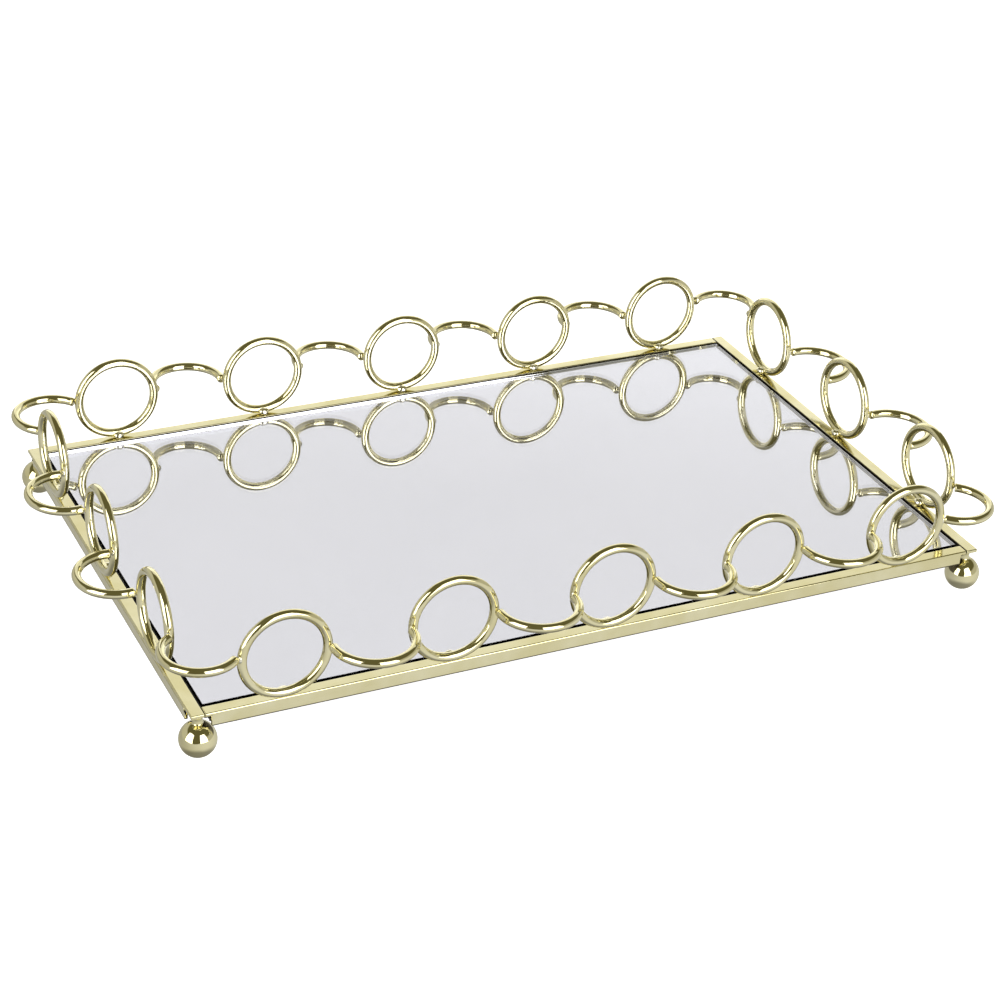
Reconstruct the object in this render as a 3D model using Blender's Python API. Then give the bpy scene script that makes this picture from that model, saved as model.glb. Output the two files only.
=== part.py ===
"""Dresser vanity tray: a mirror set in a gold frame on ball feet, inside a gallery of wire rings.

The origin is on the floor below the tray's centre. +X runs along the long side, -Y faces the
front and +Z is up. Lengths are in metres.
"""

import math

import bmesh
import bpy
from mathutils import Vector

# Frame
TRAY_LENGTH = 0.400
TRAY_WIDTH = 0.250
FRAME_TOP = 0.0224
BAR_WIDTH = 0.0060
BAR_HEIGHT = 0.0070
FLANGE_THICKNESS = 0.0018
LEG_THICKNESS = 0.0016
BAR_EDGE_ROUNDING = 0.0004
GAP = 0.0003

# Mirror and what holds it
GLASS_DROP = 0.0001
GLASS_THICKNESS = 0.0025
GLASS_EDGE_ROUNDING = 0.0003
SILVERING_THICKNESS = 0.0004
GASKET_LIP_WIDTH = 0.0010
GASKET_LIP_DROP = 0.0017
BOARD_THICKNESS = 0.0018

# Ball feet
BALL_RADIUS = 0.0084
BALL_FLAT_RADIUS = 0.0020
BALL_INSET_X = 0.0041
BALL_INSET_Y = 0.0038
NECK_RADIUS = 0.0022
LEG_END_CLEARANCE = 0.0050
NECK_HOLE_RADIUS = 0.0030
BALL_HOLE_RADIUS = 0.0049

# Rings and the bows between them, whose ends sit against the outer halves of the rings' wires
WIRE_RADIUS = 0.00215
RING_RADIUS = 0.0194
BOW_END_OFFSET = 0.0026
BOW_END_GAP = 0.0009
LONG_BOW_OVERHANG = 0.0211
SHORT_BOW_OVERHANG = 0.0222

# Weld beads at the feet of the rings: centre inwards and up from the ring's contact, and radii
BEAD_CENTRE = Vector((0.0, 0.0021, 0.0015))
BEAD_RADII = Vector((0.0023, 0.0019, 0.0021))

# How finely the round pieces are faceted
WIRE_SIDES = 8
RING_STEPS = 24
BOW_STEPS = 12
FOOT_SIDES = 20
BALL_STEPS = 9
HOLE_SIDES = 24
BEAD_SEGMENTS = 10
BEAD_RINGS = 6
SHARP_ANGLE = math.radians(40)
CUTTER_MARGIN = 0.005

# Worked out from the above
HALF_LENGTH = TRAY_LENGTH / 2
HALF_WIDTH = TRAY_WIDTH / 2
FLANGE_UNDERSIDE = FRAME_TOP - FLANGE_THICKNESS
FRAME_BOTTOM = FRAME_TOP - BAR_HEIGHT
GASKET_INNER_INSET = BAR_WIDTH + GAP + GASKET_LIP_WIDTH
GLASS_INSET = GASKET_INNER_INSET + GAP
BED_INSET = LEG_THICKNESS + GAP
GLASS_TOP = FRAME_TOP - GLASS_DROP
GLASS_BOTTOM = GLASS_TOP - GLASS_THICKNESS
SILVERING_BOTTOM = GLASS_BOTTOM - GAP - SILVERING_THICKNESS
BOARD_TOP = SILVERING_BOTTOM - GAP
RING_LIFT = GAP + WIRE_RADIUS + RING_RADIUS
RING_CENTRE_HEIGHT = FRAME_TOP + RING_LIFT

# Each side's name, its turn about Z from the front side, the distance to its outer face, and how
# far its bows reach past that face
SIDES = (
    ("front", 0.0, HALF_WIDTH, LONG_BOW_OVERHANG),
    ("right", math.pi / 2, HALF_LENGTH, SHORT_BOW_OVERHANG),
    ("rear", math.pi, HALF_WIDTH, LONG_BOW_OVERHANG),
    ("left", -math.pi / 2, HALF_LENGTH, SHORT_BOW_OVERHANG),
)

# Each side's row of rings: their count and pitch, how far they stand in from the outer face, and
# how far the row is off the middle of the side
ROWS = {
    "front": (5, 0.07825, 0.0007, -0.0014),
    "right": (3, 0.0772, 0.0008, -0.0008),
    "rear": (5, 0.0778, 0.0017, -0.0017),
    "left": (3, 0.0772, 0.0004, -0.0005),
}

# Each corner's name, the signs of its X and Y, the sides that it joins, anticlockwise from above,
# and its bow's bulge and height above the middles of the rings
CORNERS = (
    ("front_left", -1, -1, "left", "front", 0.0208, 0.0021),
    ("front_right", 1, -1, "front", "right", 0.0216, -0.0006),
    ("rear_right", 1, 1, "right", "rear", 0.0210, 0.0034),
    ("rear_left", -1, 1, "rear", "left", 0.0226, 0.0012),
)


def clear_scene():
    for obj in list(bpy.data.objects):
        bpy.data.objects.remove(obj, do_unlink=True)


def material(name, colour, roughness, metallic=0.0):
    made = bpy.data.materials.new(name)
    made.use_nodes = True
    shader = made.node_tree.nodes["Principled BSDF"]
    shader.inputs["Base Color"].default_value = (*colour, 1.0)
    shader.inputs["Roughness"].default_value = roughness
    shader.inputs["Metallic"].default_value = metallic
    return made


def new_object(name, mesh, surface, parent, location=(0, 0, 0), turn=0.0):
    obj = bpy.data.objects.new(name, mesh)
    bpy.context.scene.collection.objects.link(obj)
    if not mesh.materials:
        mesh.materials.append(surface)
    obj.parent = parent
    obj.location = location
    obj.rotation_euler = (0, 0, turn)
    return obj


def mesh_from(builder, name, smooth=False):
    bmesh.ops.recalc_face_normals(builder, faces=builder.faces)
    mesh = bpy.data.meshes.new(name)
    builder.to_mesh(mesh)
    builder.free()
    if smooth:
        mesh.shade_smooth()
        mesh.set_sharp_from_angle(angle=SHARP_ANGLE)
    return mesh


def box_mesh(name, low, high):
    """A box between two opposite corners."""
    builder = bmesh.new()
    bmesh.ops.create_cube(builder, size=1.0)
    low = Vector(low)
    size = Vector(high) - low
    for vertex in builder.verts:
        vertex.co = low + size * 0.5 + Vector(a * b for a, b in zip(vertex.co, size))
    return mesh_from(builder, name)


def tube_mesh(name, sections, closed):
    """A skin through sections of equally many points, joined end to start or capped at its ends."""
    builder = bmesh.new()
    loops = [[builder.verts.new(point) for point in section] for section in sections]
    followers = loops[1:] + loops[:1] if closed else loops[1:]
    for loop, following in zip(loops, followers):
        for i in range(len(loop)):
            j = (i + 1) % len(loop)
            builder.faces.new((loop[i], loop[j], following[j], following[i]))
    if not closed:
        builder.faces.new(loops[0])
        builder.faces.new(loops[-1])
    return mesh_from(builder, name, smooth=True)


def wire_section(centre, outward, across, radius):
    """The points round a wire at one place on its centre line."""
    angles = [2 * math.pi * i / WIRE_SIDES for i in range(WIRE_SIDES)]
    return [centre + radius * (math.cos(a) * outward + math.sin(a) * across) for a in angles]


def ring_mesh(name, radius):
    """An upright ring in the XZ plane, made of wire of this radius."""
    sections = []
    for step in range(RING_STEPS):
        angle = 2 * math.pi * step / RING_STEPS
        outward = Vector((math.cos(angle), 0, math.sin(angle)))
        sections.append(wire_section(RING_RADIUS * outward, outward, Vector((0, 1, 0)), radius))
    return tube_mesh(name, sections, closed=True)


def bow_mesh(name, half_chord, bulge):
    """A wire bent to an arc that leaves a chord along X and bulges towards -Y.

    Each end stops short of the chord by the radius of the upright wire it is welded to and a gap.
    """
    radius = (half_chord**2 + bulge**2) / (2 * bulge)
    centre = Vector((0, radius - bulge, 0))
    first_angle = math.asin((bulge - radius) / radius) - (WIRE_RADIUS + BOW_END_GAP) / radius
    sweep = -math.pi - 2 * first_angle
    sections = []
    for step in range(BOW_STEPS + 1):
        angle = first_angle + sweep * step / BOW_STEPS
        outward = Vector((math.cos(angle), math.sin(angle), 0))
        sections.append(wire_section(centre + radius * outward, outward, Vector((0, 0, 1)), WIRE_RADIUS))
    return tube_mesh(name, sections, closed=False)


def foot_mesh(name):
    """A ball with a small flat to stand on and a neck up to the underside of the flange."""
    ball_centre = math.sqrt(BALL_RADIUS**2 - BALL_FLAT_RADIUS**2)
    lowest = -math.asin(ball_centre / BALL_RADIUS)
    highest = math.acos(NECK_RADIUS / BALL_RADIUS)
    profile = []
    for step in range(BALL_STEPS + 1):
        angle = lowest + (highest - lowest) * step / BALL_STEPS
        profile.append((BALL_RADIUS * math.cos(angle), ball_centre + BALL_RADIUS * math.sin(angle)))
    profile.append((NECK_RADIUS, FLANGE_UNDERSIDE - GAP))
    turns = [2 * math.pi * i / FOOT_SIDES for i in range(FOOT_SIDES)]
    sections = [[Vector((r * math.cos(t), r * math.sin(t), z)) for t in turns] for r, z in profile]
    return tube_mesh(name, sections, closed=False)


def corner_places():
    """Where each ball foot stands."""
    for name, side_x, side_y, *_bow in CORNERS:
        yield name, side_x * (HALF_LENGTH - BALL_INSET_X), side_y * (HALF_WIDTH - BALL_INSET_Y)


def cut_with(obj, cutter, operation):
    """Adds a Boolean whose other body stays out of the model."""
    cutter.hide_render = True
    cutter.display_type = "WIRE"
    modifier = obj.modifiers.new(cutter.name, "BOOLEAN")
    modifier.operation = operation
    modifier.solver = "EXACT"
    modifier.object = cutter


def round_edges(obj, width):
    modifier = obj.modifiers.new("rounded edges", "BEVEL")
    modifier.width = width
    modifier.segments = 2
    modifier.limit_method = "ANGLE"
    modifier.angle_limit = SHARP_ANGLE


def add_bar(side, turn, outer, length, leg_setback, surface, parent):
    """One side of the frame: a flat flange on an upright outer leg that stops short of the feet.

    The bar lies along X with its outer face at Y = 0 and its top at Z = 0, before it is turned.
    """
    half = length / 2
    flange = box_mesh("flange", (-half, 0, -FLANGE_THICKNESS), (half, BAR_WIDTH, 0))
    place = Vector((outer * math.sin(turn), -outer * math.cos(turn), FRAME_TOP))
    bar = new_object(f"frame_bar_{side}", flange, surface, parent, place, turn)
    leg_half = half - leg_setback
    leg_low = (-leg_half, 0, -BAR_HEIGHT)
    leg_high = (leg_half, LEG_THICKNESS, -FLANGE_THICKNESS / 2)
    leg = new_object(f"leg_{side}", box_mesh("leg", leg_low, leg_high), surface, parent, place, turn)
    cut_with(bar, leg, "UNION")
    round_edges(bar, BAR_EDGE_ROUNDING)


def add_frame(surface, parent):
    """Two side bars over the tray's full width, and two long bars butted between them."""
    side_setback = BALL_INSET_Y + LEG_END_CLEARANCE
    long_start = BAR_WIDTH + GAP
    long_setback = BALL_INSET_X + LEG_END_CLEARANCE - long_start
    for side, turn, outer, _overhang in SIDES:
        if side in ("left", "right"):
            add_bar(side, turn, outer, TRAY_WIDTH, side_setback, surface, parent)
        else:
            length = TRAY_LENGTH - 2 * long_start
            add_bar(side, turn, outer, length, long_setback, surface, parent)


def inset_box(name, inset, low, high):
    """A box that stays this far inside the tray's outline."""
    x = HALF_LENGTH - inset
    y = HALF_WIDTH - inset
    return box_mesh(name, (-x, -y, low), (x, y, high))


def corner_cutter(name, radius, parent, surface):
    """Four upright cylinders on the axes of the feet."""
    builder = bmesh.new()
    turns = [2 * math.pi * i / HOLE_SIDES for i in range(HOLE_SIDES)]
    for _name, x, y in corner_places():
        ends = []
        for z in (FRAME_BOTTOM - CUTTER_MARGIN, FRAME_TOP):
            circle = [(x + radius * math.cos(t), y + radius * math.sin(t), z) for t in turns]
            ends.append([builder.verts.new(point) for point in circle])
        for i in range(HOLE_SIDES):
            j = (i + 1) % HOLE_SIDES
            builder.faces.new((ends[0][i], ends[0][j], ends[1][j], ends[1][i]))
        builder.faces.new(ends[0])
        builder.faces.new(ends[1])
    return new_object(name, mesh_from(builder, name), surface, parent)


def add_mirror(parent):
    glass = material("mirror_glass", (0.86, 0.87, 0.90), 0.02, 0.9)
    silver = material("silvering", (0.20, 0.21, 0.22), 0.35, 0.3)
    plate = inset_box("mirror_glass", GLASS_INSET, GLASS_BOTTOM, GLASS_TOP)
    pane = new_object("mirror_glass", plate, glass, parent)
    round_edges(pane, GLASS_EDGE_ROUNDING)
    coat = inset_box("silvering", GLASS_INSET, SILVERING_BOTTOM, GLASS_BOTTOM - GAP)
    new_object("mirror_silvering", coat, silver, parent)


def add_gasket(parent):
    """A black bed under the flange with a lip that rises between the frame and the glass."""
    black = material("gasket", (0.012, 0.012, 0.013), 0.35)
    bed_top = FLANGE_UNDERSIDE - GAP
    lip_top = FRAME_TOP - GASKET_LIP_DROP
    bed = inset_box("gasket", BED_INSET, SILVERING_BOTTOM, bed_top)
    gasket = new_object("glazing_gasket", bed, black, parent)
    middle = (SILVERING_BOTTOM + bed_top) / 2
    lip = inset_box("gasket_lip", BAR_WIDTH + GAP, middle, lip_top)
    cut_with(gasket, new_object("gasket_lip", lip, black, parent), "UNION")
    window_low = SILVERING_BOTTOM - CUTTER_MARGIN
    window = inset_box("gasket_window", GASKET_INNER_INSET, window_low, FRAME_TOP)
    cut_with(gasket, new_object("gasket_window", window, black, parent), "DIFFERENCE")
    cut_with(gasket, corner_cutter("neck_holes", NECK_HOLE_RADIUS, parent, black), "DIFFERENCE")


def add_backing_board(parent):
    """The board that closes the tray from below, with its corners cut away round the balls."""
    board_surface = material("backing_board", (0.020, 0.019, 0.018), 0.75)
    plate = inset_box("backing_board", BED_INSET, BOARD_TOP - BOARD_THICKNESS, BOARD_TOP)
    board = new_object("backing_board", plate, board_surface, parent)
    holes = corner_cutter("ball_holes", BALL_HOLE_RADIUS, parent, board_surface)
    cut_with(board, holes, "DIFFERENCE")


def add_feet(parent):
    gold = material("gold_foot", (0.80, 0.70, 0.42), 0.10, 1.0)
    mesh = foot_mesh("ball_foot")
    for corner, x, y in corner_places():
        new_object(f"ball_foot_{corner}", mesh, gold, parent, (x, y, 0))


def bead_mesh(parent, surface):
    """A weld bead in the angle between the flange and the inner side of a ring's lowest point."""
    builder = bmesh.new()
    bmesh.ops.create_uvsphere(builder, u_segments=BEAD_SEGMENTS, v_segments=BEAD_RINGS, radius=1.0)
    for vertex in builder.verts:
        vertex.co = BEAD_CENTRE + Vector(a * b for a, b in zip(vertex.co, BEAD_RADII))
    blob = new_object("bead_blob", mesh_from(builder, "bead_blob"), surface, parent)
    wire = ring_mesh("bead_ring_cutter", WIRE_RADIUS + GAP)
    ring = new_object("bead_ring_cutter", wire, surface, parent, (0, 0, RING_LIFT))
    slab_size = CUTTER_MARGIN * 2
    slab = box_mesh("bead_slab", (-slab_size, -slab_size, -slab_size), (slab_size, slab_size, GAP))
    cut_with(blob, ring, "DIFFERENCE")
    cut_with(blob, new_object("bead_slab", slab, surface, parent), "DIFFERENCE")
    graph = bpy.context.evaluated_depsgraph_get()
    made = bpy.data.meshes.new_from_object(blob.evaluated_get(graph))
    made.name = "ring_weld"
    made.shade_smooth()
    made.set_sharp_from_angle(angle=SHARP_ANGLE)
    for helper in (blob, ring, bpy.data.objects["bead_slab"]):
        bpy.data.objects.remove(helper, do_unlink=True)
    return made


def add_gallery(parent):
    """Rings standing on every side, and the bows that join each to the next."""
    gold = material("gold_wire", (0.80, 0.70, 0.42), 0.12, 1.0)
    bead_gold = material("gold_weld", (0.84, 0.76, 0.52), 0.25, 1.0)
    ring = ring_mesh("ring", WIRE_RADIUS)
    bead = bead_mesh(parent, bead_gold)
    row_ends = {}
    for side, turn, outer, overhang in SIDES:
        count, pitch, inset, shift = ROWS[side]
        along = Vector((math.cos(turn), math.sin(turn), 0))
        outward = Vector((math.sin(turn), -math.cos(turn), 0))
        middle = outward * (outer - inset) + along * shift
        half_chord = pitch / 2 - RING_RADIUS - BOW_END_OFFSET
        bow = bow_mesh(f"bow_{side}", half_chord, overhang + inset)
        for i in range(count):
            foot = middle + along * pitch * (i - (count - 1) / 2)
            top = Vector((foot.x, foot.y, RING_CENTRE_HEIGHT))
            new_object(f"ring_{side}_{i + 1}", ring, gold, parent, top, turn)
            base = Vector((foot.x, foot.y, FRAME_TOP))
            new_object(f"ring_weld_{side}_{i + 1}", bead, bead_gold, parent, base, turn)
            if i + 1 < count:
                new_object(f"bow_{side}_{i + 1}", bow, gold, parent, top + along * pitch / 2, turn)
        reach = along * (pitch * (count - 1) / 2 + RING_RADIUS)
        row_ends[side] = (middle - reach, middle + reach)
    add_corner_bows(row_ends, gold, parent)


def add_corner_bows(row_ends, gold, parent):
    """The bows that carry the gallery round the corners, from the last ring of one side to the next."""
    for corner, _side_x, _side_y, before, after, bulge, lift in CORNERS:
        start = row_ends[before][1]
        end = row_ends[after][0]
        chord = end - start
        middle = (start + end) / 2
        mesh = bow_mesh(f"bow_corner_{corner}", chord.length / 2 - BOW_END_OFFSET, bulge)
        place = (middle.x, middle.y, RING_CENTRE_HEIGHT + lift)
        new_object(f"bow_corner_{corner}", mesh, gold, parent, place, math.atan2(chord.y, chord.x))


def build():
    clear_scene()
    tray = bpy.data.objects.new("vanity_tray", None)
    bpy.context.scene.collection.objects.link(tray)
    frame_gold = material("gold_frame", (0.78, 0.70, 0.45), 0.22, 1.0)
    add_frame(frame_gold, tray)
    add_mirror(tray)
    add_gasket(tray)
    add_backing_board(tray)
    add_feet(tray)
    add_gallery(tray)


build()
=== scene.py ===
"""The looks of the dresser vanity tray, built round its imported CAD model."""

import math

import bmesh
import bpy
from mathutils import Matrix, Vector, noise


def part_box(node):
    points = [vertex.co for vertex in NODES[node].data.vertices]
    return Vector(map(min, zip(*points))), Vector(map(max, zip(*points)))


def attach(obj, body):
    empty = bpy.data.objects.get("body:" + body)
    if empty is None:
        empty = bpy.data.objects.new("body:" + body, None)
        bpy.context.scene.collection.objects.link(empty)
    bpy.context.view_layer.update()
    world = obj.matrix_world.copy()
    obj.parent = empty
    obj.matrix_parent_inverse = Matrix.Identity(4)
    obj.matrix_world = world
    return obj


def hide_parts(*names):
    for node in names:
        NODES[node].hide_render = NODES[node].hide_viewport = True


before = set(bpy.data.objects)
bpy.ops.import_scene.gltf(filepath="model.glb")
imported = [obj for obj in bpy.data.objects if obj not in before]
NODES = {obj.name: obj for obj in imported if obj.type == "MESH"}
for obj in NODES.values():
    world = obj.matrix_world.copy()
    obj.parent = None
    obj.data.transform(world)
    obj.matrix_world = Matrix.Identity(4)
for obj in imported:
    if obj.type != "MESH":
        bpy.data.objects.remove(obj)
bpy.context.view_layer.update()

# Sizes repeated from the CAD source, in metres, where the nodes' boxes don't give them
GAP = 0.0003
FLANGE_THICKNESS = 0.0018
LEG_THICKNESS = 0.0016
LEG_END_CLEARANCE = 0.0050
NECK_RADIUS = 0.0022
BALL_RADIUS = 0.0084
BALL_FLAT_RADIUS = 0.0020
NECK_HOLE_RADIUS = 0.0030
CORNER_BOW_BULGES = {
    "front_left": 0.0208,
    "front_right": 0.0216,
    "rear_right": 0.0210,
    "rear_left": 0.0226,
}

# How far the bows' ends stand beside and in front of the rings' wires, in metres
BOW_END_OFFSETS = {
    "front": 0.0019,
    "right": 0.0023,
    "rear": 0.0027,
    "left": 0.0023,
    "corner": 0.0023,
}
BOW_END_GAP = 0.0006

# Details finer than the CAD, in metres
EDGE_ROUNDING = 0.0006
GLASS_ROUNDING = 0.0003
GASKET_ROUNDING = 0.00015
NECK_FILLET = 0.0009
NECK_FLARE = ((0.0, 0.0004), (0.0001, 0.0002), (0.0003, 0.0))
SILVER_CLEARANCE = 0.00002
LIP_ROOT = 0.0005
CUT_MARGIN = 0.01
FOOT_BEAD_LENGTH = 0.0027
FOOT_BEAD_DEPTH = 0.0022
JOINT_BEAD_RADII = (0.0012, 0.0012, 0.0019)
JOINT_BEAD_OFFSET = 0.0010
JOINT_BEAD_SHARE_OUT = 0.45
# Height and fade of the painted shadow, a dark band along the bars' lower edges
UNDERSIDE_SHADE_HEIGHT = 0.0007
UNDERSIDE_SHADE_FADE = 0.0002

# How finely the pieces are modelled
RING_STEPS = 144
WIRE_SIDES = 28
BOW_STEPS = 72
FOOT_SIDES = 72
BALL_STEPS = 30
FILLET_STEPS = 6
BEVEL_STEPS = 4
GLASS_BEVEL_STEPS = 3
GASKET_BEVEL_STEPS = 2
HOLE_SIDES = 48

# Each side's turn from the front one, in degrees, and its number of rings
SIDES = {"front": (0, 5), "right": (90, 3), "rear": (180, 5), "left": (-90, 3)}
# Which way each corner lies from the middle, in x and y
CORNERS = {
    "front_left": (-1, -1),
    "front_right": (1, -1),
    "rear_right": (1, 1),
    "rear_left": (-1, 1),
}
UP = Vector((0, 0, 1))


# ---------------------------------------------------------------- mesh helpers


def finished_mesh(name, builder, smooth=True):
    """The mesh that a builder has made, with its faces turned out."""
    bmesh.ops.recalc_face_normals(builder, faces=builder.faces)
    mesh = bpy.data.meshes.new(name)
    builder.to_mesh(mesh)
    builder.free()
    if smooth:
        mesh.shade_smooth()
    return mesh


def add_object(name, data):
    made = bpy.data.objects.new(name, data)
    bpy.context.scene.collection.objects.link(made)
    return made


def piece(name, mesh, surface, slot, *nodes):
    """A named piece that rides on the tray and stands for CAD nodes."""
    made = add_object(name, mesh)
    mesh.materials.clear()
    mesh.materials.append(surface)
    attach(made, "root")
    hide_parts(*nodes)


def skin(builder, sections, closed):
    """Faces through sections of equally many points, joined end to start or capped at its ends."""
    loops = [[builder.verts.new(point) for point in section] for section in sections]
    followers = loops[1:] + loops[:1] if closed else loops[1:]
    for loop, following in zip(loops, followers):
        for i in range(len(loop)):
            j = (i + 1) % len(loop)
            builder.faces.new((loop[i], loop[j], following[j], following[i]))
    if not closed:
        builder.faces.new(loops[0])
        builder.faces.new(loops[-1])


def wire_section(centre, outward, across, radius):
    """The points round a wire at one place on its centre line."""
    points = []
    for i in range(WIRE_SIDES):
        angle = 2 * math.pi * i / WIRE_SIDES
        points.append(centre + radius * (math.cos(angle) * outward + math.sin(angle) * across))
    return points


def level_circle(middle, radius, height, sides):
    """Points round an upright axis at one height."""
    points = []
    for i in range(sides):
        turn = 2 * math.pi * i / sides
        x = middle.x + radius * math.cos(turn)
        y = middle.y + radius * math.sin(turn)
        points.append(Vector((x, y, height)))
    return points


def box_object(low, high):
    """A helper box between two corners."""
    builder = bmesh.new()
    bmesh.ops.create_cube(builder, size=1.0)
    low, high = Vector(low), Vector(high)
    for vertex in builder.verts:
        from_middle = Vector(a * b for a, b in zip(vertex.co, high - low))
        vertex.co = low + (high - low) * 0.5 + from_middle
    return add_object("helper", finished_mesh("helper", builder, smooth=False))


def carve(solid, cutter, operation):
    """Cuts or joins a body with another, which is used up."""
    modifier = solid.modifiers.new("carve", "BOOLEAN")
    modifier.operation = operation
    modifier.solver = "EXACT"
    modifier.object = cutter
    bake(solid)
    bpy.data.objects.remove(cutter, do_unlink=True)


def bake(solid):
    """Puts an object's modifiers into its mesh."""
    graph = bpy.context.evaluated_depsgraph_get()
    made = bpy.data.meshes.new_from_object(solid.evaluated_get(graph))
    solid.modifiers.clear()
    solid.data = made


def rounded_mesh(solid, name, width, steps=BEVEL_STEPS):
    """A body's mesh with its edges rounded and its flat faces shaded flat; uses the body up."""
    bevel = solid.modifiers.new("rounding", "BEVEL")
    bevel.width = width
    bevel.segments = steps
    bevel.limit_method = "ANGLE"
    bevel.angle_limit = math.radians(40)
    solid.data.shade_smooth()
    weighted = solid.modifiers.new("normals", "WEIGHTED_NORMAL")
    weighted.weight = 100
    weighted.keep_sharp = False
    bake(solid)
    mesh = solid.data
    mesh.name = name
    bpy.data.objects.remove(solid, do_unlink=True)
    return mesh


# ---------------------------------------------------------------- materials


class NodeTree:
    """A node tree with short ways to add to it."""

    def __init__(self, tree):
        self.nodes = tree.nodes
        self.links = tree.links

    def put(self, value, socket):
        """Links an output to a socket, or sets the socket to a colour or a number."""
        if isinstance(value, bpy.types.NodeSocket):
            self.links.new(value, socket)
        elif isinstance(value, tuple):
            socket.default_value = (*value, 1.0)
        else:
            socket.default_value = value

    def split(self, vector):
        """A vector's X, Y and Z."""
        node = self.nodes.new("ShaderNodeSeparateXYZ")
        self.links.new(vector, node.inputs["Vector"])
        return node.outputs

    def maths(self, operation, *values):
        node = self.nodes.new("ShaderNodeMath")
        node.operation = operation
        for socket, value in zip(node.inputs, values):
            self.put(value, socket)
        return node.outputs["Value"]

    def range(self, value, from_low, from_high, to_low, to_high, easing="LINEAR"):
        node = self.nodes.new("ShaderNodeMapRange")
        node.interpolation_type = easing
        numbers = (from_low, from_high, to_low, to_high)
        for socket, number in zip(("From Min", "From Max", "To Min", "To Max"), numbers):
            node.inputs[socket].default_value = number
        self.links.new(value, node.inputs["Value"])
        return node.outputs["Result"]


class Surface(NodeTree):
    """A material, with its shader and its object coordinates at hand."""

    def __init__(self, name):
        self.material = bpy.data.materials.new(name)
        self.material.use_nodes = True
        super().__init__(self.material.node_tree)
        self.shader = self.nodes["Principled BSDF"]
        self.place = self.nodes.new("ShaderNodeTexCoord").outputs["Object"]

    def settle(self, **values):
        """Sets shader sockets that are the same all over, named with _ for spaces."""
        for socket, value in values.items():
            self.shader.inputs[socket.replace("_", " ")].default_value = value

    def noise(self, scale, detail=3.0, roughness=0.5, stretch=None):
        """Grey noise over the object's own coordinates; scale is in blobs to the metre."""
        place = self.place
        if stretch:
            mapping = self.nodes.new("ShaderNodeMapping")
            mapping.inputs["Scale"].default_value = stretch
            self.links.new(place, mapping.inputs["Vector"])
            place = mapping.outputs["Vector"]
        texture = self.nodes.new("ShaderNodeTexNoise")
        texture.inputs["Scale"].default_value = scale
        texture.inputs["Detail"].default_value = detail
        texture.inputs["Roughness"].default_value = roughness
        self.links.new(place, texture.inputs["Vector"])
        return texture.outputs["Fac"]

    def mix(self, factor, first, second):
        """A colour between two colours."""
        node = self.nodes.new("ShaderNodeMix")
        node.data_type = "RGBA"
        wanted = (("Factor", "VALUE", factor), ("A", "RGBA", first), ("B", "RGBA", second))
        for name, kind, value in wanted:
            self.put(value, next(s for s in node.inputs if s.name == name and s.type == kind))
        return next(s for s in node.outputs if s.type == "RGBA")

    def normal(self):
        return self.nodes.new("ShaderNodeNewGeometry").outputs["Normal"]

    def wire(self, output, socket):
        self.links.new(output, self.shader.inputs[socket])

    def bump(self, height, strength, distance):
        node = self.nodes.new("ShaderNodeBump")
        node.inputs["Strength"].default_value = strength
        node.inputs["Distance"].default_value = distance
        self.links.new(height, node.inputs["Height"])
        self.links.new(node.outputs["Normal"], self.shader.inputs["Normal"])


DEEP_GOLD = (0.72, 0.655, 0.34)
PALE_GOLD = (0.84, 0.79, 0.52)
# Painted shade for the bars' faces that look inwards over the mirror
INWARD_SHADE_GOLD = (0.26, 0.24, 0.18)
# Colour of the painted shadow along the bars' lower edges
UNDERSIDE_SHADE_COLOUR = (0.10, 0.085, 0.05)


def gold(name, roughness, ripple, deep=DEEP_GOLD, pale=PALE_GOLD):
    """Polished pale gold plate: faint patches of tone, fine wiping haze and a slight ripple."""
    surface = Surface(name)
    surface.settle(Metallic=1.0)
    patches = surface.noise(60, detail=2.0)
    tone = surface.range(patches, 0.35, 0.65, 0.35, 1.0)
    surface.colour = surface.mix(tone, deep, pale)
    surface.wire(surface.colour, "Base Color")
    haze = surface.noise(420, detail=4.0, roughness=0.65)
    surface.wire(surface.range(haze, 0.3, 0.7, *roughness), "Roughness")
    surface.bump(surface.noise(230, detail=1.0), ripple, 0.0002)
    return surface


def bar_gold(name):
    """The bars' gold, with painted shade on the faces that look inwards and a painted shadow along
    the cut lower edges.
    """
    surface = gold(name, (0.06, 0.11), 0.10)
    # Painted shadow: a dark band along the bars' lower edges, where their undersides are in shade
    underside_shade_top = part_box("frame_bar_front")[0].z + UNDERSIDE_SHADE_HEIGHT
    height = surface.split(surface.place)["Z"]
    underside_shade = surface.range(height, underside_shade_top, underside_shade_top + UNDERSIDE_SHADE_FADE, 1.0, 0.0)
    # How far out a face's plane lies from the middle, below zero where the face looks inwards.
    # The frame's inward faces all lie more than 0.10 m out
    reach = surface.nodes.new("ShaderNodeVectorMath")
    reach.operation = "DOT_PRODUCT"
    surface.put(surface.normal(), reach.inputs[0])
    surface.put(surface.place, reach.inputs[1])
    inward_shade = surface.range(reach.outputs["Value"], -0.10, -0.06, 1.0, 0.0)
    # Painted shade: the faces that look inwards over the mirror are darkened to a dim gold
    inward_shaded = surface.mix(inward_shade, surface.colour, INWARD_SHADE_GOLD)
    surface.wire(surface.mix(underside_shade, inward_shaded, UNDERSIDE_SHADE_COLOUR), "Base Color")
    return surface


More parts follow.
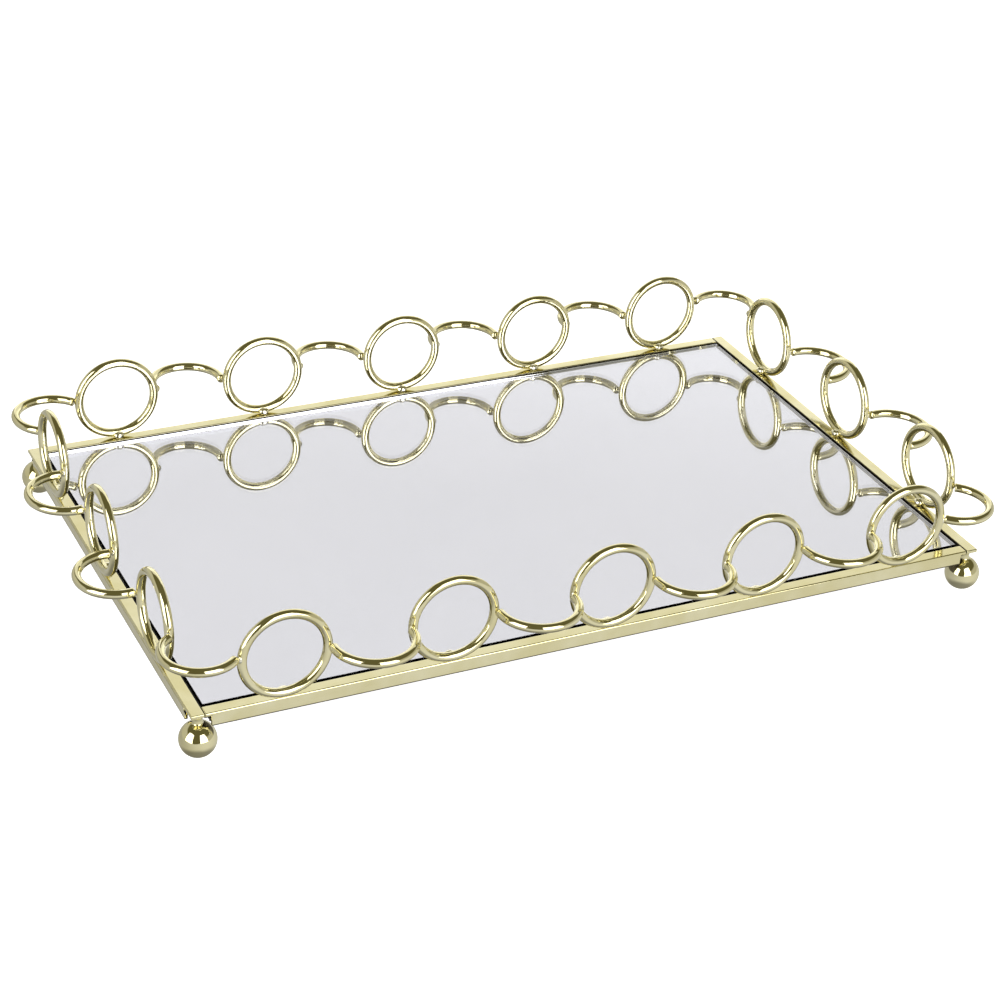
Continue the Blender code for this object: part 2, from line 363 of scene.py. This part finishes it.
def mirror_silver():
    """Silvering seen through the glass, with the grey paint that protects its back."""
    surface = Surface("mirror_silvering")
    front = surface.range(surface.split(surface.normal())["Z"], 0.4, 0.6, 0.0, 1.0)
    clouds = surface.range(surface.noise(18, detail=2.0), 0.3, 0.7, 0.0, 1.0)
    silver = surface.mix(clouds, (0.800, 0.790, 0.905), (0.815, 0.805, 0.920))
    paint = surface.mix(surface.noise(700), (0.10, 0.105, 0.11), (0.16, 0.165, 0.17))
    surface.wire(surface.mix(front, paint, silver), "Base Color")
    surface.wire(front, "Metallic")
    surface.wire(surface.range(front, 0.0, 1.0, 0.55, 0.012), "Roughness")
    return surface.material


def clear_glass():
    """Float glass with a breath of haze left by wiping."""
    surface = Surface("mirror_glass")
    surface.settle(Transmission_Weight=1.0, IOR=1.5)
    tint = surface.mix(surface.noise(25, detail=2.0), (0.975, 0.988, 0.984), (0.985, 0.994, 0.990))
    surface.wire(tint, "Base Color")
    wiped = surface.noise(30, detail=5.0, roughness=0.7, stretch=(1.0, 0.25, 1.0))
    surface.wire(surface.range(wiped, 0.45, 0.8, 0.0, 0.02), "Roughness")
    return surface.material


def black_rubber():
    """Matt black rubber with a fine grain."""
    surface = Surface("gasket_rubber")
    black = surface.mix(surface.noise(500), (0.008, 0.008, 0.009), (0.018, 0.018, 0.019))
    surface.wire(black, "Base Color")
    surface.wire(surface.range(surface.noise(900), 0.3, 0.7, 0.35, 0.55), "Roughness")
    surface.bump(surface.noise(1500), 0.3, 0.0001)
    return surface.material


def hardboard():
    """Dark pressed fibreboard, flecked, as on the back of a picture frame."""
    surface = Surface("backing_board")
    fibres = surface.noise(260, detail=6.0, roughness=0.7, stretch=(1.0, 0.3, 1.0))
    flecks = surface.range(fibres, 0.35, 0.65, 0.0, 1.0)
    surface.wire(surface.mix(flecks, (0.030, 0.026, 0.023), (0.085, 0.070, 0.058)), "Base Color")
    surface.wire(surface.range(fibres, 0.3, 0.7, 0.6, 0.85), "Roughness")
    surface.bump(fibres, 0.5, 0.0003)
    return surface.material


# ---------------------------------------------------------------- gallery of rings and bows


def ring_facts(node):
    """A ring's centre, its centre-line radius, its wire radius and the axis across it."""
    low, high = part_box(node)
    size = high - low
    across = Vector((1, 0, 0)) if size.x < size.y else Vector((0, 1, 0))
    wire = min(size.x, size.y) / 2
    return (low + high) / 2, size.z / 2 - wire, wire, across


def make_rings(surface):
    for side, (_turn, count) in SIDES.items():
        for i in range(1, count + 1):
            node = f"ring_{side}_{i}"
            centre, radius, wire, across = ring_facts(node)
            along = UP.cross(across)
            sections = []
            for step in range(RING_STEPS):
                angle = 2 * math.pi * step / RING_STEPS
                outward = math.cos(angle) * along + math.sin(angle) * UP
                sections.append(wire_section(centre + radius * outward, outward, across, wire))
            builder = bmesh.new()
            skin(builder, sections, closed=True)
            piece(f"wire_ring_{side}_{i}", finished_mesh(node, builder), surface, "gold_wire", node)


def bow_wire(node, start, end, outward, bulge, wire, offset, surface):
    """A level arc from beside one ring's wire to beside the next one's, with flat ends."""
    chord = end - start
    half_chord = chord.length / 2 - offset
    along = chord.normalized()
    middle = (start + end) / 2
    radius = (half_chord**2 + bulge**2) / (2 * bulge)
    centre = middle + outward * (bulge - radius)
    trim = (wire + BOW_END_GAP) / radius
    first = trim - math.asin((bulge - radius) / radius)
    last = math.pi - first
    sections = []
    for step in range(BOW_STEPS + 1):
        angle = first + (last - first) * step / BOW_STEPS
        away = math.cos(angle) * along + math.sin(angle) * outward
        sections.append(wire_section(centre + radius * away, away, UP, wire))
    builder = bmesh.new()
    skin(builder, sections, closed=False)
    piece(f"wire_{node}", finished_mesh(node, builder), surface, "gold_wire", node)


def side_axes(turn):
    """The directions along a side and out from it."""
    angle = math.radians(turn)
    along = Vector((math.cos(angle), math.sin(angle), 0))
    return along, Vector((along.y, -along.x, 0))


def make_bows(surface):
    for side, (turn, count) in SIDES.items():
        along, outward = side_axes(turn)
        for i in range(1, count):
            node = f"bow_{side}_{i}"
            before, radius, wire, _across = ring_facts(f"ring_{side}_{i}")
            after = ring_facts(f"ring_{side}_{i + 1}")[0]
            low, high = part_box(node)
            reach = max(low.dot(outward), high.dot(outward))
            bulge = reach - wire - before.dot(outward)
            start = before + along * radius
            end = after - along * radius
            bow_wire(node, start, end, outward, bulge, wire, BOW_END_OFFSETS[side], surface)


def corner_height(corner):
    """The height of a corner bow's centre line."""
    low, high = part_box(f"bow_corner_{corner}")
    return (low.z + high.z) / 2


def corner_ends(corner):
    """The centre-line points where a corner's bow meets the last ring of each of its two sides."""
    sign_x, sign_y = CORNERS[corner]
    long_side, short_side = corner.split("_")
    ends = []
    for side, onward in ((long_side, Vector((sign_x, 0, 0))), (short_side, Vector((0, sign_y, 0)))):
        turn, count = SIDES[side]
        along, _outward = side_axes(turn)
        last = count if along.dot(onward) > 0 else 1
        centre, radius, _wire, _across = ring_facts(f"ring_{side}_{last}")
        end = centre + onward * radius
        ends.append(Vector((end.x, end.y, corner_height(corner))))
    return ends


def make_corner_bows(surface):
    wire = ring_facts("ring_front_1")[2]
    offset = BOW_END_OFFSETS["corner"]
    for corner, bulge in CORNER_BOW_BULGES.items():
        start, end = corner_ends(corner)
        outward = Vector((end.y - start.y, start.x - end.x, 0)).normalized()
        if outward.dot((start + end) / 2) < 0:
            outward = -outward
        bow_wire(f"bow_corner_{corner}", start, end, outward, bulge, wire, offset, surface)


def add_blob(builder, centre, axes, radii, seed, lumps=0.16, scale=420.0):
    """A lump of weld: an ellipsoid with its surface pushed in and out a little."""
    made = bmesh.ops.create_icosphere(builder, subdivisions=3, radius=1.0)
    shift = Vector((seed * 0.37, seed * 0.11, seed * 0.73))
    for vertex in made["verts"]:
        direction = vertex.co.normalized()
        point = centre + sum((a * r * c for a, r, c in zip(axes, radii, direction)), Vector())
        swell = 1 + lumps * noise.noise(point * scale + shift)
        vertex.co = centre + (point - centre) * swell


def corner_beside(point):
    """The corner in whose quarter of the tray a point lies."""
    for corner, (sign_x, sign_y) in CORNERS.items():
        if point.x * sign_x > 0 and point.y * sign_y > 0:
            return corner


def make_welds(surface):
    """The beads that hold each ring to the frame and to its two bows, one piece to a ring."""
    seed = 0
    for side, (turn, count) in SIDES.items():
        along, outward = side_axes(turn)
        for i in range(1, count + 1):
            node = f"ring_weld_{side}_{i}"
            centre, radius, wire, _across = ring_facts(f"ring_{side}_{i}")
            low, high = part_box(node)
            builder = bmesh.new()
            # A little taller than its node and sunk a little below it, so it meets ring and frame
            foot = (low + high) / 2
            foot_radii = Vector((FOOT_BEAD_LENGTH, FOOT_BEAD_DEPTH, (high.z - low.z) * 0.55))
            foot.z = low.z + foot_radii.z * 0.9
            add_blob(builder, foot, (along, -outward, UP), foot_radii, seed)
            for hand in (-1, 1):
                seed += 1
                joint = centre + along * hand * (radius + JOINT_BEAD_OFFSET)
                joint += outward * wire * JOINT_BEAD_SHARE_OUT
                if (i, hand) in ((1, -1), (count, 1)):
                    joint.z = corner_height(corner_beside(joint))
                axes = (along, outward, UP)
                add_blob(builder, joint, axes, JOINT_BEAD_RADII, seed, lumps=0.12, scale=600.0)
            seed += 1
            piece(f"welds_{side}_{i}", finished_mesh(node, builder), surface, "gold_weld", node)


# ---------------------------------------------------------------- tray


def foot_profile(top):
    """Radius and height from the flat under a ball up its neck, filleted where they meet."""
    centre = math.sqrt(BALL_RADIUS**2 - BALL_FLAT_RADIUS**2)
    lowest = -math.acos(BALL_FLAT_RADIUS / BALL_RADIUS)
    meet = math.acos((NECK_RADIUS + NECK_FILLET) / (BALL_RADIUS + NECK_FILLET))
    waist = centre + (BALL_RADIUS + NECK_FILLET) * math.sin(meet)
    profile = []
    for step in range(BALL_STEPS + 1):
        angle = lowest + (meet - lowest) * step / BALL_STEPS
        profile.append((BALL_RADIUS * math.cos(angle), centre + BALL_RADIUS * math.sin(angle)))
    for step in range(1, FILLET_STEPS + 1):
        angle = meet + math.pi - meet * step / FILLET_STEPS
        radius = NECK_RADIUS + NECK_FILLET + NECK_FILLET * math.cos(angle)
        profile.append((radius, waist + NECK_FILLET * math.sin(angle)))
    # The neck widens a little where it is soldered to the frame
    for wider, below in NECK_FLARE:
        profile.append((NECK_RADIUS + wider, top - below))
    return profile


def make_feet(surface):
    for corner in CORNERS:
        node = f"ball_foot_{corner}"
        low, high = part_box(node)
        middle = (low + high) / 2
        profile = foot_profile(high.z)
        sections = [level_circle(middle, radius, height, FOOT_SIDES) for radius, height in profile]
        builder = bmesh.new()
        skin(builder, sections, closed=False)
        mesh = finished_mesh(node, builder)
        mesh.set_sharp_from_angle(angle=math.radians(50))
        piece(f"ball_and_neck_{corner}", mesh, surface, "gold_foot", node)


def make_bars(surface):
    """L-shaped bars: a flat flange on an upright outer leg that stops short of the feet."""
    feet_low, feet_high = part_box("ball_foot_front_left")
    for side, (turn, _count) in SIDES.items():
        node = f"frame_bar_{side}"
        low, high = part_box(node)
        flange = box_object((low.x, low.y, high.z - FLANGE_THICKNESS), high)
        _along, outward = side_axes(turn)
        lengthways = 1 if abs(outward.x) > 0.5 else 0
        across = 1 - lengthways
        reach = abs((feet_low + feet_high)[lengthways]) / 2 - LEG_END_CLEARANCE
        leg_low, leg_high = low.copy(), high.copy()
        leg_low[lengthways], leg_high[lengthways] = -reach, reach
        if outward[across] > 0:
            leg_low[across] = high[across] - LEG_THICKNESS
        else:
            leg_high[across] = low[across] + LEG_THICKNESS
        leg_high.z = high.z - FLANGE_THICKNESS / 2
        carve(flange, box_object(leg_low, leg_high), "UNION")
        mesh = rounded_mesh(flange, node, EDGE_ROUNDING)
        piece(f"bar_{side}", mesh, surface, "gold_frame", node)


def make_glass(surface):
    """The pane, down to just above the silvering that shows through it."""
    low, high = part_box("mirror_glass")
    low.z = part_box("mirror_silvering")[1].z + SILVER_CLEARANCE
    mesh = rounded_mesh(box_object(low, high), "mirror_glass", GLASS_ROUNDING, GLASS_BEVEL_STEPS)
    piece("glass_pane", mesh, surface, "mirror_glass", "mirror_glass")


def neck_cutter(low, high):
    """Four upright cylinders on the axes of the feet."""
    builder = bmesh.new()
    for corner in CORNERS:
        ball_low, ball_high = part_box(f"ball_foot_{corner}")
        middle = (ball_low + ball_high) / 2
        sections = [level_circle(middle, NECK_HOLE_RADIUS, z, HOLE_SIDES) for z in (low, high)]
        skin(builder, sections, closed=False)
    return add_object("cutter", finished_mesh("cutter", builder, smooth=False))


def make_gasket(surface):
    """The black strip that shows as a thin line between the frame and the mirror."""
    low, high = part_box("glazing_gasket")
    glass_low, glass_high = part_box("mirror_glass")
    below, above = low.z - CUT_MARGIN, high.z + CUT_MARGIN
    bed_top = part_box("frame_bar_front")[1].z - FLANGE_THICKNESS - GAP
    gasket = box_object(low, (high.x, high.y, bed_top))
    lip_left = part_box("frame_bar_left")[1].x + GAP
    lip_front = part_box("frame_bar_front")[1].y + GAP
    # The lip starts inside the bed, so that the two join into one body
    lip = box_object((lip_left, lip_front, low.z + LIP_ROOT), (-lip_left, -lip_front, high.z))
    carve(gasket, lip, "UNION")
    window_low = (glass_low.x - GAP, glass_low.y - GAP, below)
    window_high = (glass_high.x + GAP, glass_high.y + GAP, above)
    carve(gasket, box_object(window_low, window_high), "DIFFERENCE")
    carve(gasket, neck_cutter(below, above), "DIFFERENCE")
    mesh = rounded_mesh(gasket, "glazing_gasket", GASKET_ROUNDING, GASKET_BEVEL_STEPS)
    piece("black_gasket", mesh, surface, "gasket", "glazing_gasket")


def dress_node(name, surface):
    """A better material on a CAD node that stays as it is."""
    node = NODES[name]
    node.data.materials.clear()
    node.data.materials.append(surface)


# ---------------------------------------------------------------- studio

# Lens in millimetres, angles in degrees; the azimuth turns from the front towards the left
CAMERA_FOCAL = 86.89
CAMERA_AZIMUTH = 27.005
CAMERA_ELEVATION = 29.528
CAMERA_ROLL = 3.526
CAMERA_DISTANCE = 1.192386
CAMERA_TARGET = Vector((0.003364, 0.001591, 0.020))

# Name, centre, the point it faces, width, height and radiance
SOFTBOXES = (
    ("softbox_right", (0.26, -1.45, 0.86), (0.0, -0.1, 0.86), 1.16, 1.70, 3.0),
    ("softbox_left", (-1.52, -0.55, 0.86), (-0.1, -0.1, 0.86), 1.15, 1.70, 3.0),
    ("backdrop", (0.62, 1.24, 0.75), (0.0, 0.0, 0.75), 1.9, 1.5, 0.8),
)

# Level directions from the tray, as x and y; the camera stands at the front left
FRONT_RIGHT = (0.46, -0.89)
FRONT_LEFT = (-0.46, -0.89)
REAR_LEFT = (-0.71, 0.71)

# The room's brightness: what its ceiling, floor and walls send back of pure white
CEILING_GLOW = (0.135, 0.125, 0.060)
FLOOR_GLOW = 0.64
FLOOR_GLOW_TO_FRONT_RIGHT = 0.18
WALL_GLOW = 0.40
REAR_LEFT_WALL_GLOW = 0.45

FLOOR_HALF_SIZE = 6.0
FLOOR_EMISSION = 0.95
FLOOR_CLEARANCE = 0.00002


def aim(thing, centre, right, up, back):
    """Puts a camera or a lamp at a point, looking away from its back."""
    rotation = Matrix((right, up, back)).transposed()
    thing.matrix_world = Matrix.Translation(centre) @ rotation.to_4x4()


def make_camera():
    data = bpy.data.cameras.new("camera")
    data.sensor_width = 36.0
    data.lens = CAMERA_FOCAL
    data.clip_start = 0.05
    data.clip_end = 50.0
    data.dof.use_dof = False
    azimuth, elevation = math.radians(CAMERA_AZIMUTH), math.radians(CAMERA_ELEVATION)
    roll = math.radians(CAMERA_ROLL)
    level = math.cos(elevation)
    back = Vector((-math.sin(azimuth) * level, -math.cos(azimuth) * level, math.sin(elevation)))
    right = (-back).cross(UP).normalized()
    up = right.cross(-back)
    turned_right = right * math.cos(roll) + up * math.sin(roll)
    turned_up = -right * math.sin(roll) + up * math.cos(roll)
    camera = add_object("camera", data)
    aim(camera, CAMERA_TARGET + back * CAMERA_DISTANCE, turned_right, turned_up, back)
    bpy.context.scene.camera = camera


def softbox(name, centre, target, width, height, radiance):
    """A rectangular light that is seen only in reflections."""
    data = bpy.data.lights.new(name, "AREA")
    data.shape = "RECTANGLE"
    data.size = width
    data.size_y = height
    data.energy = radiance * width * height * math.pi
    light = add_object(name, data)
    centre, target = Vector(centre), Vector(target)
    facing = (target - centre).normalized()
    across = facing.cross(UP).normalized()
    aim(light, centre, across, across.cross(facing), -facing)
    light.visible_camera = False


def room_glow(tree, direction):
    """The colour that the room sends back from each direction."""
    parts = tree.split(direction)
    x, y, height = parts["X"], parts["Y"], parts["Z"]

    def towards(level):
        return tree.maths("MULTIPLY_ADD", y, level[1], tree.maths("MULTIPLY", x, level[0]))

    def fade(value, start, end, at_start, at_end):
        return tree.range(value, start, end, at_start, at_end, "SMOOTHSTEP")

    below = tree.maths("LESS_THAN", height, 0.0)
    above = tree.maths("SUBTRACT", 1.0, below)
    # The floor brightens towards the front right and dims straight below
    lean = towards(FRONT_RIGHT)
    floor = tree.maths("MULTIPLY_ADD", lean, FLOOR_GLOW_TO_FRONT_RIGHT, FLOOR_GLOW)
    floor = tree.maths("MULTIPLY", floor, fade(height, -0.90, -0.55, 0.42, 1.0))
    # The walls fade out upwards and in the gap between the two front softboxes
    walls = fade(towards(FRONT_LEFT), 0.70, 0.85, WALL_GLOW, 0.0)
    walls = tree.maths("MULTIPLY", walls, fade(height, 0.34, 0.50, 1.0, 0.0))
    # The rear left wall reaches higher, so the mirror stays pale from the front right as well
    high_wall = fade(towards(REAR_LEFT), 0.70, 0.80, 0.0, REAR_LEFT_WALL_GLOW)
    high_wall = tree.maths("MULTIPLY", high_wall, fade(height, 0.52, 0.64, 1.0, 0.0))
    walls = tree.maths("MAXIMUM", walls, high_wall)
    floor = tree.maths("MULTIPLY", floor, below)
    glow = tree.maths("ADD", floor, tree.maths("MULTIPLY", walls, above))
    tint = tree.nodes.new("ShaderNodeCombineXYZ")
    for socket, ceiling in zip(tint.inputs, CEILING_GLOW):
        tree.put(tree.maths("MULTIPLY_ADD", above, ceiling, glow), socket)
    return tint.outputs["Vector"]


def make_world():
    """A dim room with paler walls, a floor that glows back up, and plain white behind the tray."""
    world = bpy.data.worlds.new("studio")
    bpy.context.scene.world = world
    world.use_nodes = True
    tree = NodeTree(world.node_tree)
    tree.nodes.clear()
    direction = tree.nodes.new("ShaderNodeTexCoord").outputs["Generated"]
    room = tree.nodes.new("ShaderNodeBackground")
    tree.put(room_glow(tree, direction), room.inputs["Color"])
    white = tree.nodes.new("ShaderNodeBackground")
    white.inputs["Color"].default_value = (1, 1, 1, 1)
    chooser = tree.nodes.new("ShaderNodeMixShader")
    tree.put(tree.nodes.new("ShaderNodeLightPath").outputs["Is Camera Ray"], chooser.inputs["Fac"])
    tree.put(room.outputs["Background"], chooser.inputs[1])
    tree.put(white.outputs["Background"], chooser.inputs[2])
    output = tree.nodes.new("ShaderNodeOutputWorld")
    tree.put(chooser.outputs["Shader"], output.inputs["Surface"])


def make_floor():
    """A pale glowing floor that surfaces don't mirror; the room's own glow stands in there."""
    builder = bmesh.new()
    bmesh.ops.create_grid(builder, x_segments=1, y_segments=1, size=FLOOR_HALF_SIZE)
    floor = add_object("floor", finished_mesh("floor", builder, smooth=False))
    surface = Surface("pale_floor")
    surface.settle(Roughness=0.9, Specular_IOR_Level=0.0)
    pale = surface.mix(surface.noise(8), (0.90, 0.90, 0.90), (0.93, 0.93, 0.93))
    surface.wire(pale, "Base Color")
    surface.settle(Emission_Color=(1, 1, 1, 1), Emission_Strength=FLOOR_EMISSION)
    floor.data.materials.append(surface.material)
    floor.visible_glossy = False
    floor.location.z = -FLOOR_CLEARANCE


def main():
    polished = gold("gold_wire", (0.05, 0.10), 0.35).material
    ball_gold = gold("gold_foot", (0.04, 0.08), 0.6).material
    weld_tones = ((0.84, 0.79, 0.56), (0.95, 0.92, 0.76))
    weld_gold = gold("gold_weld", (0.10, 0.22), 0.9, *weld_tones).material
    make_rings(polished)
    make_bows(polished)
    make_corner_bows(polished)
    make_welds(weld_gold)
    make_feet(ball_gold)
    make_bars(bar_gold("gold_frame").material)
    make_glass(clear_glass())
    make_gasket(black_rubber())
    dress_node("mirror_silvering", mirror_silver())
    dress_node("backing_board", hardboard())
    make_floor()
    for settings in SOFTBOXES:
        softbox(*settings)
    make_world()
    make_camera()
    bpy.context.scene.view_settings.view_transform = "Standard"


main()
